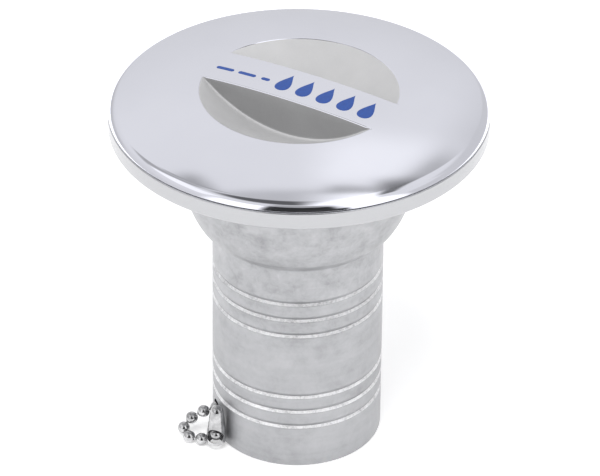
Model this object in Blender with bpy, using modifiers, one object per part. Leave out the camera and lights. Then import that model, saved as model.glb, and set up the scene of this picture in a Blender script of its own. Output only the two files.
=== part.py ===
"""Deck fill cap: flush stainless deck filler for 38 mm hose, with its retaining chain.

Frame: origin at the centre of the hose tail's lower end, +Z up along the
filler's axis, metres.  Lengths below are written in millimetres and scaled by MM.
"""
import math

import bmesh
import bpy
from mathutils import Matrix, Vector

MM = 0.001

# ---------------------------------------------------------------- dimensions
SEG = 48                    # sides of the large turned shapes
THREAD_SEG = 24             # steps per turn of the screw thread
GAP = 0.3                   # clearance between neighbouring pieces

# filler body
FLANGE_R = 43.9             # deck flange, outer radius (87.8 mm across)
FLANGE_TOP = 86.3
FLANGE_BOTTOM = 81.9
NECK_R = 28.0               # neck just under the flange
NECK_ARC_Z = 77.1           # height where the neck starts to curve in
NECK_ARC_A = 12.7           # radial semi-axis of that curve
NECK_ARC_B = 24.4           # axial semi-axis
STEP_R, STEP_Z = 22.8, 58.4  # edge between the cast neck and the turned tail
TAIL_TOP = 55.2
TAIL_R = 20.0               # hose tail, outer radius (40 mm across the rings)
GROOVE_DEPTH = 0.5
GROOVE_HALF = 0.75
GROOVES = (46.0, 41.6, 37.2, 20.0, 15.8, 11.5)
BORE_R = 17.0
BORE_TOP = 54.0

# screw thread between the cap and the body (right hand)
PITCH = 3.0
MALE_CREST_R, MALE_ROOT_R = 22.5, 20.7
FEMALE_CREST_R, FEMALE_ROOT_R = 21.2, 22.95
FLANK = math.tan(math.radians(30))
MALE_CREST_HALF = 0.25
AXIAL_PLAY = 0.4
MALE_Z0, MALE_TURNS = 75.9, 2.0
FEMALE_Z0, FEMALE_TURNS = 72.9, 4.2

# cap
CAP_UNDER = 86.6            # underside of the disc
EDGE_Z = 87.05              # height where the rounded rim is widest
DOME_TOP = 92.6
DOME_A, DOME_B = 1.642e-3, 4.02e-7   # dome drop = A r^2 + B r^4 (mm)
DISH_RS = 33.5              # finger dish, spherical radius
DISH_CZ = 116.0             # its centre height
DISH_WALL = 2.5
BAR_HALF = 6.2              # half width of the grip bar across the dish
BAR_ANGLE = -30.0           # direction of the bar about +Z, degrees from +X
SPIGOT_BOTTOM = 74.3
SPIGOT_IN = 17.8
BOSS_R, BOSS_BOTTOM = 6.0, 77.6

# sealing ring
ORING_R, ORING_D, ORING_Z = 24.0, 2.6, 84.95
SEAT_R, SEAT_Z = 25.7, 83.3

# fixing screw holes in the flange
SCREW_PCR, SCREW_HOLE_R, SCREW_HEAD_R = 35.0, 2.6, 5.0

# chain and its anchor hole near the foot of the tail
BALL_D = 2.9
HOLE_Z, HOLE_R = 6.9, 2.2
HOLE_DIR = Vector((-0.95, -0.3122, 0.0)).normalized()
CONN_FOOT = Vector((-19.05, -12.35, 1.3))
CONN_HEAD = Vector((-18.75, -11.85, 11.25))
CONN_R = 2.3

# ---------------------------------------------------------------- scene start
for ob in list(bpy.data.objects):
    bpy.data.objects.remove(ob, do_unlink=True)

parts = bpy.data.collections.new("deck_fill_cap")
cutters = bpy.data.collections.new("cutters")
bpy.context.scene.collection.children.link(parts)
bpy.context.scene.collection.children.link(cutters)


def material(name, colour, roughness, metallic):
    mat = bpy.data.materials.new(name)
    mat.use_nodes = True
    bsdf = mat.node_tree.nodes["Principled BSDF"]
    bsdf.inputs["Base Color"].default_value = (*colour, 1.0)
    bsdf.inputs["Roughness"].default_value = roughness
    bsdf.inputs["Metallic"].default_value = metallic
    return mat


def link(ob, cutter=False):
    for col in list(ob.users_collection):
        col.objects.unlink(ob)
    (cutters if cutter else parts).objects.link(ob)
    if cutter:
        ob.hide_render = True
        ob.display_type = "WIRE"
    return ob


def smooth(ob, angle=35.0):
    ob.data.shade_smooth()
    ob.data.set_sharp_from_angle(angle=math.radians(angle))


def new_object(name, mesh, mat=None, cutter=False):
    ob = bpy.data.objects.new(name, mesh)
    if mat is not None:
        mesh.materials.append(mat)
    return link(ob, cutter)


def outline_mesh(name, points, closed):
    """Edges of a profile in the XZ plane, given as (radius, height) in mm."""
    bm = bmesh.new()
    verts = [bm.verts.new((r * MM, 0.0, z * MM)) for r, z in points]
    pairs = list(zip(verts, verts[1:]))
    if closed:
        pairs.append((verts[-1], verts[0]))
    for a, b in pairs:
        bm.edges.new((a, b))
    mesh = bpy.data.meshes.new(name)
    bm.to_mesh(mesh)
    bm.free()
    return mesh


def turned(name, points, mat=None, closed=False, seg=SEG, cutter=False):
    """A profile turned about +Z.  It runs down its outer side, top to bottom."""
    ob = new_object(name, outline_mesh(name, points, closed), mat, cutter)
    mod = ob.modifiers.new("turn", "SCREW")
    mod.axis = "Z"
    mod.steps = mod.render_steps = seg
    mod.use_merge_vertices = True
    mod.merge_threshold = 0.00001
    mod.use_smooth_shade = True
    return ob


def applied(ob, name=None, mat=None, cutter=False):
    """The evaluated shape of ob as a plain mesh object, which replaces ob."""
    bpy.context.view_layer.update()
    graph = bpy.context.evaluated_depsgraph_get()
    mesh = bpy.data.meshes.new_from_object(ob.evaluated_get(graph))
    world = ob.matrix_world.copy()
    name = name or ob.name
    bpy.data.objects.remove(ob, do_unlink=True)
    mesh.materials.clear()
    new = new_object(name, mesh, mat, cutter)
    new.matrix_world = world
    return new


def outward(ob):
    """Merges coincident points and turns every face outward."""
    bm = bmesh.new()
    bm.from_mesh(ob.data)
    bmesh.ops.remove_doubles(bm, verts=bm.verts, dist=1e-6)
    bmesh.ops.recalc_face_normals(bm, faces=bm.faces)
    bm.to_mesh(ob.data)
    bm.free()


def close_ends(ob):
    """Caps the two open ends of a swept section and turns its faces outward."""
    bm = bmesh.new()
    bm.from_mesh(ob.data)
    bmesh.ops.remove_doubles(bm, verts=bm.verts, dist=1e-7)
    rim = [e for e in bm.edges if e.is_boundary]
    bmesh.ops.holes_fill(bm, edges=rim, sides=0)
    bmesh.ops.recalc_face_normals(bm, faces=bm.faces)
    bm.to_mesh(ob.data)
    bm.free()


def helix(name, half_in, r_in, r_root, half_root, r_crest, half_crest, z0, turns):
    """Right-hand thread ridge: a trapezoid section swept along a helix."""
    section = [(r_in, z0 + half_in), (r_root, z0 + half_root), (r_crest, z0 + half_crest),
               (r_crest, z0 - half_crest), (r_root, z0 - half_root), (r_in, z0 - half_in)]
    ob = new_object(name, outline_mesh(name, section, True), None, True)
    mod = ob.modifiers.new("sweep", "SCREW")
    mod.axis = "Z"
    mod.angle = 2.0 * math.pi * turns
    mod.screw_offset = PITCH * turns * MM
    mod.steps = mod.render_steps = int(round(THREAD_SEG * turns))
    mod.use_merge_vertices = False
    ob = applied(ob, name, None, True)
    close_ends(ob)
    return ob


def boolean(ob, other, operation="DIFFERENCE"):
    mod = ob.modifiers.new(other.name, "BOOLEAN")
    mod.operation = operation
    mod.solver = "EXACT"
    mod.object = other
    return mod


def drill(name, radius, length, centre, axis, seg=20):
    bpy.ops.mesh.primitive_cylinder_add(vertices=seg, radius=radius * MM, depth=length * MM)
    ob = bpy.context.active_object
    ob.name = ob.data.name = name
    ob.matrix_world = Matrix.Translation(Vector(centre) * MM) @ \
        Vector(axis).to_track_quat("Z", "Y").to_matrix().to_4x4()
    return link(ob, True)


def block(name, size, centre, turn=0.0):
    bpy.ops.mesh.primitive_cube_add(size=1.0)
    ob = bpy.context.active_object
    ob.name = ob.data.name = name
    ob.data.transform(Matrix.Diagonal((size[0] * MM, size[1] * MM, size[2] * MM, 1.0)))
    ob.location = Vector(centre) * MM
    ob.rotation_euler = (0.0, 0.0, turn)
    return link(ob, True)


# ---------------------------------------------------------------- materials
polished = material("polished_stainless", (0.80, 0.80, 0.82), 0.08, 1.0)
satin = material("satin_stainless", (0.62, 0.62, 0.64), 0.38, 1.0)
rubber = material("nitrile_rubber", (0.02, 0.02, 0.022), 0.75, 0.0)
rivet_steel = material("rivet_steel", (0.70, 0.70, 0.72), 0.22, 1.0)
washer_steel = material("washer_steel", (0.66, 0.66, 0.68), 0.30, 1.0)
strap_steel = material("strap_steel", (0.68, 0.68, 0.70), 0.28, 1.0)
chain_steel = material("chain_steel", (0.64, 0.64, 0.64), 0.20, 1.0)
ball_steel = material("ball_steel", (0.66, 0.66, 0.66), 0.18, 1.0)
coupling_steel = material("coupling_steel", (0.60, 0.60, 0.60), 0.25, 1.0)


# ---------------------------------------------------------------- filler body
def neck_curve(steps=7):
    """Outer side of the neck from the flange fillet down to the turned edge."""
    pts = []
    centre_r = NECK_R - NECK_ARC_A
    for i in range(steps + 1):
        z = NECK_ARC_Z + (STEP_Z - NECK_ARC_Z) * i / steps
        d = (NECK_ARC_Z - z) / NECK_ARC_B
        pts.append((centre_r + NECK_ARC_A * math.sqrt(1.0 - d * d), z))
    return pts


def body_profile():
    pts = [(SEAT_R + 0.4, FLANGE_TOP), (FLANGE_R - 0.3, FLANGE_TOP), (FLANGE_R, FLANGE_TOP - 0.3),
           (FLANGE_R - 0.05, FLANGE_BOTTOM + 0.6), (FLANGE_R - 0.6, FLANGE_BOTTOM),
           (NECK_R + 3.0, FLANGE_BOTTOM), (NECK_R + 0.9, FLANGE_BOTTOM - 0.9), (NECK_R, FLANGE_BOTTOM - 3.0)]
    pts += neck_curve()
    pts += [(TAIL_R + 0.15, TAIL_TOP), (TAIL_R, TAIL_TOP - 0.6)]
    for z in GROOVES:
        pts += [(TAIL_R, z + GROOVE_HALF), (TAIL_R - GROOVE_DEPTH, z), (TAIL_R, z - GROOVE_HALF)]
    pts += [(TAIL_R, 0.6), (TAIL_R - 0.6, 0.0), (BORE_R + 0.5, 0.0), (BORE_R, 0.5),
            (BORE_R, BORE_TOP), (20.8, 62.0), (FEMALE_CREST_R, 64.0),
            (FEMALE_CREST_R, SEAT_Z), (SEAT_R, SEAT_Z), (SEAT_R, FLANGE_TOP - 0.4)]
    return pts


body = turned("filler_body", body_profile(), satin, closed=True)

groove_cut = helix("female_thread_cut", 1.40, FEMALE_CREST_R - 0.6, FEMALE_CREST_R,
                   MALE_CREST_HALF + AXIAL_PLAY + (MALE_CREST_R - FEMALE_CREST_R) * FLANK,
                   FEMALE_ROOT_R,
                   MALE_CREST_HALF + AXIAL_PLAY - (FEMALE_ROOT_R - MALE_CREST_R) * FLANK,
                   FEMALE_Z0, FEMALE_TURNS)
boolean(body, groove_cut)

for k in range(4):
    a = math.radians(45.0 + 90.0 * k)
    cut = turned("screw_hole_cut_%d" % (k + 1),
                 [(0.0, FLANGE_TOP + 0.8), (SCREW_HEAD_R + 0.1, FLANGE_TOP + 0.8), (SCREW_HEAD_R + 0.1, FLANGE_TOP - 0.1),
                  (SCREW_HOLE_R, FLANGE_TOP - 2.6), (SCREW_HOLE_R, FLANGE_BOTTOM - 1.0), (0.0, FLANGE_BOTTOM - 1.0)],
                 seg=16, cutter=True)
    cut.location = (SCREW_PCR * math.cos(a) * MM, SCREW_PCR * math.sin(a) * MM, 0.0)
    boolean(body, cut)

anchor_cut = drill("chain_hole_cut", HOLE_R, 8.0, HOLE_DIR * 18.5 + Vector((0, 0, HOLE_Z)), HOLE_DIR, 16)
boolean(body, anchor_cut)


# ---------------------------------------------------------------- cap
def dome(r):
    return DOME_TOP - DOME_A * r * r - DOME_B * r ** 4


def cap_profile():
    """Dome, rounded edge, underside, threaded spigot, dish underside and boss."""
    pts = [(0.0, DOME_TOP)]
    pts += [(r, dome(r)) for r in (6.0, 12.0, 18.0, 24.0, 30.0, 36.0, 40.0)]
    edge_r, edge_z = FLANGE_R - 2.3, EDGE_Z
    rise = dome(edge_r) - edge_z
    for i in range(5):
        a = math.radians(80.0 - i * 20.0)
        pts.append((edge_r + 2.3 * math.cos(a), edge_z + rise * math.sin(a)))
    pts += [(FLANGE_R, CAP_UNDER + 0.15), (FLANGE_R - 0.15, CAP_UNDER), (37.0, CAP_UNDER), (36.4, CAP_UNDER + 1.2),
            (28.6, CAP_UNDER + 1.2), (28.0, CAP_UNDER), (MALE_ROOT_R, CAP_UNDER),
            (MALE_ROOT_R, SPIGOT_BOTTOM + 0.5), (MALE_ROOT_R - 0.5, SPIGOT_BOTTOM), (SPIGOT_IN + 0.4, SPIGOT_BOTTOM),
            (SPIGOT_IN, SPIGOT_BOTTOM + 0.4)]
    rs = DISH_RS + DISH_WALL
    pts += [(r, DISH_CZ - math.sqrt(rs * rs - r * r)) for r in (SPIGOT_IN, 14.0, 10.0, BOSS_R)]
    pts += [(BOSS_R, BOSS_BOTTOM + 0.4), (BOSS_R - 0.4, BOSS_BOTTOM), (0.0, BOSS_BOTTOM)]
    return pts


cap = applied(turned("cap_turned", cap_profile()), "cap", polished)
outward(cap)


def dish_half(name, side):
    """Spherical bowl beyond one side of the grip bar."""
    pts = [(0.0, 97.0)]
    top_r = math.sqrt(DISH_RS ** 2 - (DISH_CZ - 97.0) ** 2)
    pts.append((top_r, 97.0))
    n = 9
    a0 = math.asin(top_r / DISH_RS)
    for i in range(1, n):
        a = a0 * (1.0 - i / n)
        pts.append((DISH_RS * math.sin(a), DISH_CZ - DISH_RS * math.cos(a)))
    pts.append((0.0, DISH_CZ - DISH_RS))
    ob = applied(turned(name, pts, cutter=True, seg=48), name, None, True)
    t = math.radians(BAR_ANGLE)
    normal = Vector((-math.sin(t), math.cos(t), 0.0)) * side
    bm = bmesh.new()
    bm.from_mesh(ob.data)
    geom = bm.verts[:] + bm.edges[:] + bm.faces[:]
    bmesh.ops.bisect_plane(bm, geom=geom, plane_co=normal * BAR_HALF * MM, plane_no=normal, clear_inner=True)
    bmesh.ops.holes_fill(bm, edges=[e for e in bm.edges if e.is_boundary], sides=0)
    bmesh.ops.recalc_face_normals(bm, faces=bm.faces)
    bm.to_mesh(ob.data)
    bm.free()
    return ob


for tag, side in (("far", 1.0), ("near", -1.0)):
    boolean(cap, dish_half("dish_cut_" + tag, side))

ridge = helix("male_thread", MALE_CREST_HALF + (MALE_CREST_R - MALE_ROOT_R) * FLANK, MALE_ROOT_R - 0.5, MALE_ROOT_R,
              MALE_CREST_HALF + (MALE_CREST_R - MALE_ROOT_R) * FLANK, MALE_CREST_R, MALE_CREST_HALF,
              MALE_Z0, MALE_TURNS)
boolean(cap, ridge, "UNION")
rivet_hole = drill("rivet_hole_cut", 2.35, 6.9, (0.0, 0.0, 77.45), (0.0, 0.0, 1.0), 16)
boolean(cap, rivet_hole)

# ---------------------------------------------------------------- sealing ring
bpy.ops.mesh.primitive_torus_add(major_radius=ORING_R * MM, minor_radius=ORING_D / 2 * MM,
                                 major_segments=SEG, minor_segments=8, location=(0.0, 0.0, ORING_Z * MM))
seal = link(bpy.context.active_object)
seal.name = seal.data.name = "cap_o_ring"
seal.data.materials.append(rubber)
smooth(seal)

# ---------------------------------------------------------------- swivel under the cap
rivet = turned("swivel_rivet",
               [(0.0, 80.6), (1.7, 80.6), (2.0, 80.3), (2.0, 74.3), (3.6, 74.3), (3.6, 73.8),
                (2.9, 73.1), (1.5, 72.8), (0.0, 72.7)], rivet_steel, seg=20)
washer = turned("swivel_washer", [(2.4, 77.3), (4.4, 77.3), (4.5, 77.2), (4.5, 76.6), (4.4, 76.5), (2.4, 76.5)],
                washer_steel, closed=True, seg=20)

# strap bent in a C: upper plate on the rivet, leg, and a foot with a slot for the chain
STRAP_T = 1.2
outline = [(-4.6, 76.0), (6.3, 76.0), (7.35, 75.55), (7.8, 74.5), (7.8, 67.5), (7.35, 66.45), (6.3, 66.0), (-3.2, 66.0),
           (-3.2, 67.2), (6.2, 67.2), (6.6, 67.6), (6.6, 74.4), (6.2, 74.8), (-4.6, 74.8)]
curve = bpy.data.curves.new("swivel_strap", "CURVE")
curve.dimensions = "2D"
curve.fill_mode = "BOTH"
curve.extrude = 3.5 * MM
spline = curve.splines.new("POLY")
spline.points.add(len(outline) - 1)
for p, (x, z) in zip(spline.points, outline):
    p.co = (x * MM, z * MM, 0.0, 1.0)
spline.use_cyclic_u = True
strap = link(bpy.data.objects.new("swivel_strap_outline", curve))
strap.rotation_euler = (math.radians(90.0), 0.0, 0.0)
strap = applied(strap, "swivel_strap", strap_steel)
outward(strap)
boolean(strap, drill("strap_hole_cut", 2.35, 4.0, (0.0, 0.0, 75.4), (0.0, 0.0, 1.0), 20))
boolean(strap, block("strap_slot_cut", (5.0, 1.1, 4.0), (-2.0, 0.0, 66.6)))

# last ball of the chain, seated above the slot of the strap
bpy.ops.mesh.primitive_uv_sphere_add(segments=16, ring_count=10, radius=BALL_D / 2 * MM,
                                     location=(0.0, 0.0, (67.2 + GAP + BALL_D / 2) * MM))
ball = link(bpy.context.active_object)
ball.name = ball.data.name = "chain_end_ball"
ball.data.materials.append(ball_steel)
smooth(ball)

# ---------------------------------------------------------------- retaining chain (plain tube along its route)
ROUTE = [(0.0, 0.0, 65.7), (0.0, 0.0, 58.0), (0.0, 0.0, 48.0), (0.0, 0.0, 38.0), (0.0, 0.0, 28.0), (0.0, 0.0, 20.0),
         (0.3, -0.2, 13.0), (1.8, -1.0, 6.6), (5.0, -2.4, 2.6), (8.8, -2.3, 1.55), (11.6, 1.4, 1.5), (10.6, 7.2, 1.5),
         (4.6, 11.4, 1.5), (-3.2, 11.4, 1.5), (-8.6, 7.4, 1.6), (-10.1, 2.2, 2.6), (-11.6, -2.0, 4.9),
         (-14.4, -4.55, 6.6), (-17.4, -5.72, 6.9), (-19.6, -6.44, 6.9), (-22.1, -7.2, 6.55), (-24.9, -7.0, 4.5),
         (-26.7, -7.5, 2.2), (-25.9, -10.0, 1.55), (-23.6, -11.3, 1.5), (-21.75, -11.45, 1.5)]


def smooth_route(points, n):
    """Centripetal Catmull-Rom curve through the points, n points at equal spacing."""
    p = [Vector(q) for q in points]
    p = [p[0] * 2 - p[1]] + p + [p[-1] * 2 - p[-2]]
    dense = []
    for i in range(1, len(p) - 2):
        q0, q1, q2, q3 = p[i - 1], p[i], p[i + 1], p[i + 2]
        t0 = 0.0
        t1 = t0 + math.sqrt((q1 - q0).length)
        t2 = t1 + math.sqrt((q2 - q1).length)
        t3 = t2 + math.sqrt((q3 - q2).length)
        for k in range(24):
            t = t1 + (t2 - t1) * k / 24
            a1 = q0 * ((t1 - t) / (t1 - t0)) + q1 * ((t - t0) / (t1 - t0))
            a2 = q1 * ((t2 - t) / (t2 - t1)) + q2 * ((t - t1) / (t2 - t1))
            a3 = q2 * ((t3 - t) / (t3 - t2)) + q3 * ((t - t2) / (t3 - t2))
            b1 = a1 * ((t2 - t) / (t2 - t0)) + a2 * ((t - t0) / (t2 - t0))
            b2 = a2 * ((t3 - t) / (t3 - t1)) + a3 * ((t - t1) / (t3 - t1))
            dense.append(b1 * ((t2 - t) / (t2 - t1)) + b2 * ((t - t1) / (t2 - t1)))
    dense.append(p[-2])
    run = [0.0]
    for a, b in zip(dense, dense[1:]):
        run.append(run[-1] + (b - a).length)
    out, j = [], 0
    for k in range(n):
        s = run[-1] * k / (n - 1)
        while j < len(run) - 2 and run[j + 1] < s:
            j += 1
        f = (s - run[j]) / max(run[j + 1] - run[j], 1e-9)
        out.append(dense[j].lerp(dense[j + 1], min(max(f, 0.0), 1.0)))
    return out, run[-1]


route, route_length = smooth_route(ROUTE, 64)
curve = bpy.data.curves.new("retaining_chain", "CURVE")
curve.dimensions = "3D"
curve.bevel_depth = BALL_D / 2 * MM
curve.bevel_resolution = 2
curve.use_fill_caps = True
spline = curve.splines.new("POLY")
spline.points.add(len(route) - 1)
for p, q in zip(spline.points, route):
    p.co = (q.x * MM, q.y * MM, q.z * MM, 1.0)
chain = applied(link(bpy.data.objects.new("chain_route", curve)), "retaining_chain", chain_steel)
outward(chain)

# ---------------------------------------------------------------- coupling on the chain's free end
CONN_LEN = (CONN_HEAD - CONN_FOOT).length
conn_out = [(0.45, CONN_LEN), (1.0, CONN_LEN - 0.3), (1.45, CONN_LEN - 0.95), (1.65, CONN_LEN - 1.9),
            (2.0, 5.2), (CONN_R, 1.8), (CONN_R, 0.5), (CONN_R - 0.3, 0.0)]
conn_in = [(1.3, 0.0), (CONN_R - 0.4, 0.55), (CONN_R - 0.4, 1.8), (1.62, 5.2),
           (1.27, CONN_LEN - 2.0), (0.45, CONN_LEN - 0.5)]
coupling = applied(turned("coupling_turned", conn_out + conn_in, closed=True, seg=20), "chain_connector", coupling_steel)
lean = (CONN_HEAD - CONN_FOOT).normalized()
coupling.matrix_world = Matrix.Translation(CONN_FOOT * MM) @ lean.to_track_quat("Z", "Y").to_matrix().to_4x4()
window_dir = Vector((-0.16, -0.84, 0.42)).normalized()
boolean(coupling, drill("coupling_window_cut", 1.75, 5.0, CONN_FOOT + Vector((0, 0, 2.35)) + window_dir * 2.6,
                        window_dir, 20))
slot_dir = Vector((-0.93, 0.20, 0.0)).normalized()
slot_turn = math.atan2(slot_dir.y, slot_dir.x)
boolean(coupling, block("coupling_slot_cut", (3.0, 0.8, 5.0), CONN_FOOT + slot_dir * 2.2 + Vector((0, 0, 0.6)), slot_turn))

# ---------------------------------------------------------------- joint axes
# The strap rides up the filler's axis with the cap; the cap turns about that axis on the strap's rivet.
lift = bpy.data.objects.new("cap_lift_axis", None)
turn = bpy.data.objects.new("cap_turn_axis", None)
for ob in (lift, turn):
    ob.empty_display_size = 0.02
    parts.objects.link(ob)
turn.parent = lift
bpy.context.view_layer.update()
for ob in (strap, ball):
    ob.parent = lift
for ob in (cap, seal, rivet, washer):
    ob.parent = turn
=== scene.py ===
"""Looks of the flush deck fill cap: fine meshes, materials, bead chain, studio and camera."""
import math
import random

import bmesh
import bpy
import numpy as np
from mathutils import Matrix, Vector
from mathutils.geometry import delaunay_2d_cdt


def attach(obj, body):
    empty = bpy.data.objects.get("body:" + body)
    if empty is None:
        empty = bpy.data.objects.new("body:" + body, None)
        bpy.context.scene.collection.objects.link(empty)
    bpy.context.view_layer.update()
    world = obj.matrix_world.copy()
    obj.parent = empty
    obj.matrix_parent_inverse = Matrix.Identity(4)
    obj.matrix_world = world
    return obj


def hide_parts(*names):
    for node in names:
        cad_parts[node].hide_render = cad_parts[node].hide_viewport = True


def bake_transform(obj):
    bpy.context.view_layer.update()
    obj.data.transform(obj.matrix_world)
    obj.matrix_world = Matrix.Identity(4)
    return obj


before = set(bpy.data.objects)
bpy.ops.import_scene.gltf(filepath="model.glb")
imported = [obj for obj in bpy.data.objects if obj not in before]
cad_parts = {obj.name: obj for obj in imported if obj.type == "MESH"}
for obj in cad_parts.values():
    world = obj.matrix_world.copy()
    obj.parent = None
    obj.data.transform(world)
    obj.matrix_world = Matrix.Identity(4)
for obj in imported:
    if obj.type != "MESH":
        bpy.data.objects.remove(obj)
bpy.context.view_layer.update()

MM = 0.001
rng = random.Random(11)

# ------------------------------------------------------------------ camera
ELEVATION = math.radians(33.32)
ROLL = math.radians(0.5)
TARGET = Vector((0.000455, 0.0, 0.05117))
DISTANCE = 1.076
cam_data = bpy.data.cameras.new("camera")
cam_data.sensor_width = 36.0
cam_data.lens = 4615.0 / 600.0 * 36.0
cam_data.clip_start = 0.05
cam_data.clip_end = 60.0
camera = bpy.data.objects.new("camera", cam_data)
bpy.context.scene.collection.objects.link(camera)
eye = TARGET + DISTANCE * Vector((0.0, -math.cos(ELEVATION), math.sin(ELEVATION)))
aim = (TARGET - eye).to_track_quat("-Z", "Y").to_matrix().to_4x4()
camera.matrix_world = Matrix.Translation(eye) @ aim @ Matrix.Rotation(ROLL, 4, "Z")
bpy.context.scene.camera = camera

# ------------------------------------------------------------------ dimensions shared with the CAD (mm)
FLANGE_R, FLANGE_TOP, FLANGE_BOTTOM = 43.9, 86.3, 81.9
NECK_R, NECK_ARC_Z, NECK_ARC_A, NECK_ARC_B = 28.0, 77.1, 12.7, 24.4
STEP_R, STEP_Z = 22.8, 58.4
TAIL_TOP, TAIL_R = 55.2, 20.0
GROOVES = (46.0, 41.6, 37.2, 20.0, 15.8, 11.5)
GROOVE_DEPTH, GROOVE_HALF = 0.5, 0.75
BORE_R, BORE_TOP = 17.0, 54.0
PITCH = 3.0
MALE_CREST_R, MALE_ROOT_R = 22.5, 20.7
FEMALE_CREST_R, FEMALE_ROOT_R = 21.2, 22.95
FLANK = math.tan(math.radians(30))
CREST_HALF, AXIAL_PLAY = 0.25, 0.4
MALE_Z0, MALE_TURNS = 75.9, 2.0
FEMALE_Z0, FEMALE_TURNS = 72.9, 4.2
CAP_UNDER, EDGE_Z, DOME_TOP = 86.6, 87.05, 92.6
DOME_A, DOME_B = 1.642e-3, 4.02e-7
DISH_RS, DISH_CZ, DISH_WALL = 33.5, 116.0, 2.5
BAR_HALF, BAR_ANGLE = 6.2, math.radians(-30.0)
SPIGOT_BOTTOM, SPIGOT_IN = 74.3, 17.8
BOSS_R, BOSS_BOTTOM = 6.0, 77.6
ORING_R, ORING_D, ORING_Z = 24.0, 2.6, 84.95
SEAT_R, SEAT_Z = 25.7, 83.3
SCREW_PCR, SCREW_HOLE_R, SCREW_HEAD_R = 35.0, 2.6, 5.0
BALL_D = 2.9
HOLE_Z, HOLE_R = 6.9, 2.2
HOLE_DIR = Vector((-0.95, -0.3122, 0.0)).normalized()
CONN_FOOT = Vector((-19.05, -12.35, 1.3))
CONN_HEAD = Vector((-18.75, -11.85, 11.25))


# ------------------------------------------------------------------ mesh helpers
def signed_volume(verts, faces):
    v = np.asarray(verts)
    total = 0.0
    for f in faces:
        a = v[f[0]]
        for i in range(1, len(f) - 1):
            total += float(np.dot(a, np.cross(v[f[i]], v[f[i + 1]])))
    return total


def new_mesh(name, verts_mm, faces, materials, angle=35.0, index=None):
    """A smooth-shaded object from points in millimetres, its faces turned outward."""
    if signed_volume(verts_mm, faces) < 0:
        faces = [tuple(reversed(f)) for f in faces]
    me = bpy.data.meshes.new(name)
    me.from_pydata([tuple(float(c) * MM for c in v) for v in verts_mm], [], faces)
    for m in materials:
        me.materials.append(m)
    if index is not None:
        me.polygons.foreach_set("material_index", index)
    me.shade_smooth()
    me.set_sharp_from_angle(angle=math.radians(angle))
    me.update()
    ob = bpy.data.objects.new(name, me)
    bpy.context.scene.collection.objects.link(ob)
    return ob


def lathe(profile, seg, closed=False, radius=None, first=0):
    """Points and faces of a profile turned about Z. radius(theta, r, z) may change r. Returns verts, faces, rings."""
    verts, rings, faces = [], [], []
    for r, z in profile:
        if r < 1e-6:
            rings.append([first + len(verts)] * seg)
            verts.append((0.0, 0.0, z))
            continue
        ring = []
        for k in range(seg):
            t = 2.0 * math.pi * k / seg
            q = radius(t, r, z) if radius else r
            ring.append(first + len(verts))
            verts.append((q * math.cos(t), q * math.sin(t), z))
        rings.append(ring)
    pairs = list(zip(rings, rings[1:]))
    if closed:
        pairs.append((rings[-1], rings[0]))
    for a, b in pairs:
        for k in range(seg):
            j = (k + 1) % seg
            f = [a[k], b[k], b[j], a[j]]
            f = [x for i, x in enumerate(f) if x not in f[:i]]
            if len(f) > 2:
                faces.append(tuple(f))
    return verts, faces, rings


def arc(cr, cz, rad, a0, a1, n, rad_z=None):
    rz = rad if rad_z is None else rad_z
    return [(cr + rad * math.cos(math.radians(a0 + (a1 - a0) * i / n)),
             cz + rz * math.sin(math.radians(a0 + (a1 - a0) * i / n))) for i in range(n + 1)]


def smooth_weighted(ob):
    mod = ob.modifiers.new("weighted_normals", "WEIGHTED_NORMAL")
    mod.keep_sharp = True
    mod.weight = 60


def cut(ob, cutter_bm, name):
    """Takes the cutter out of ob and keeps the result as its mesh."""
    me = bpy.data.meshes.new(name)
    bmesh.ops.recalc_face_normals(cutter_bm, faces=cutter_bm.faces)
    cutter_bm.to_mesh(me)
    cutter_bm.free()
    tool = bpy.data.objects.new(name, me)
    bpy.context.scene.collection.objects.link(tool)
    mod = ob.modifiers.new("cut", "BOOLEAN")
    mod.operation, mod.solver, mod.object = "DIFFERENCE", "EXACT", tool
    bpy.context.view_layer.update()
    out = bpy.data.meshes.new_from_object(ob.evaluated_get(bpy.context.evaluated_depsgraph_get()))
    ob.modifiers.remove(mod)
    old = ob.data
    ob.data = out
    out.name = old.name
    bpy.data.objects.remove(tool, do_unlink=True)
    return ob


def bm_cylinder(bm, radius, depth, matrix, seg=32, radius2=None):
    bmesh.ops.create_cone(bm, cap_ends=True, segments=seg, radius1=radius,
                          radius2=radius if radius2 is None else radius2, depth=depth, matrix=matrix)


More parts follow.
